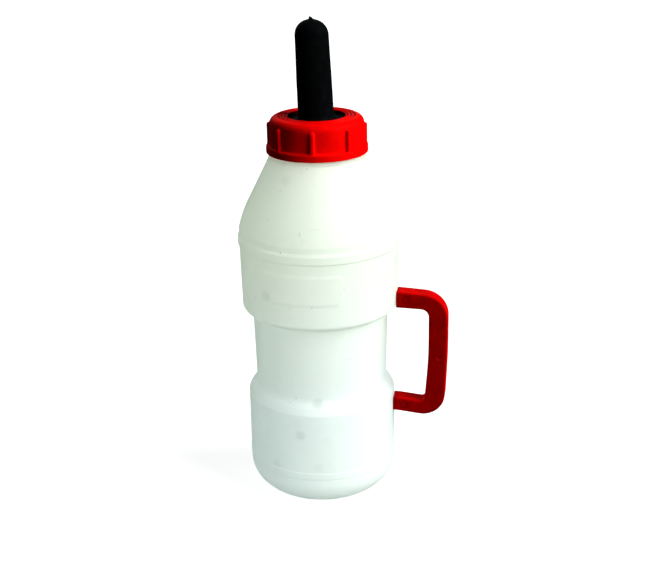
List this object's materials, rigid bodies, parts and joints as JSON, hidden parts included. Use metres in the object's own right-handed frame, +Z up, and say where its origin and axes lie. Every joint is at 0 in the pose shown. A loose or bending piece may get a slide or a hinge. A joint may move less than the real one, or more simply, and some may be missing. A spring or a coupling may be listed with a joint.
{
  "type": "calf feeding bottle",
  "caption": "Milk bottle for hand-feeding a calf: stepped translucent body with a side handle, ribbed screw collar, long rubber teat and a ball check valve inside.",
  "frame": {"origin": "centre of the flat base, on the bottle's axis", "axes": "+Z up along the bottle's axis, +X from the axis towards the handle"},
  "size_m": [0.1556, 0.1192, 0.3597],
  "materials": {
    "bottle": "milky translucent polyethylene, satin",
    "handle": "satin moulded",
    "pin": "satin moulded",
    "collar": "semi-gloss moulded",
    "teat": "smooth black rubber",
    "valve": "natural moulded",
    "ball": "polished"
  },
  "bodies": {
    "bottle": {"bottle_body": "bottle", "handle": "handle", "handle_pin_upper": "pin", "handle_pin_lower": "pin"},
    "teat_unit": {"teat": "teat", "valve_body": "valve", "valve_cage": "valve"},
    "collar": {"screw_collar": "collar"},
    "ball": {"valve_ball": "ball"}
  },
  "joints": [
    {"name": "teat_lift", "type": "slide", "parent": "bottle", "child": "teat_unit", "axis": [0, 0, 1], "range_m": [0, 0.0125]},
    {"name": "collar_turn", "type": "hinge", "parent": "teat_unit", "child": "collar", "pos_m": [0, 0, 0.279], "axis": [0, 0, 1], "range_deg": [0, 900]},
    {"name": "ball_lift", "type": "slide", "parent": "teat_unit", "child": "ball", "axis": [0, 0, 1], "range_m": [0, 0.002]}
  ],
  "couplings": [
    {"joint": "teat_lift", "follows": "collar_turn", "m_per_rad": 0.00079577}
  ]
}
